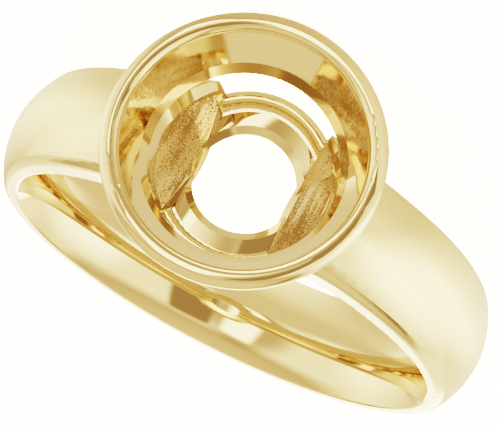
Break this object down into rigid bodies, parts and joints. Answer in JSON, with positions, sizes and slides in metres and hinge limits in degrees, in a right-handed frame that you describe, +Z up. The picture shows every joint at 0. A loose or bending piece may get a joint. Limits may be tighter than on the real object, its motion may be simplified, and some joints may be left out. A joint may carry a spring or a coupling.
{
  "type": "solitaire engagement ring mounting",
  "caption": "Yellow gold solitaire ring mounting: an empty tapered bezel cup over a dished gallery ring on a comfort-fit band, lying on its side.",
  "frame": {"origin": "on the floor, under the middle of the ring's bounding box as it lies on its side", "axes": "-Y towards the setting, +X to the ring's right shoulder seen from the setting, +Z up; the finger hole's axis leans 8.4 degrees from +Z, its top towards +Y"},
  "size_m": [0.0212, 0.0246, 0.0109],
  "materials": {
    "gold": "cast 14 karat yellow gold, high polish, left as cast on the cut ends under the cup"
  },
  "bodies": {
    "root": {"ring_mounting": "gold"}
  },
  "joints": []
}
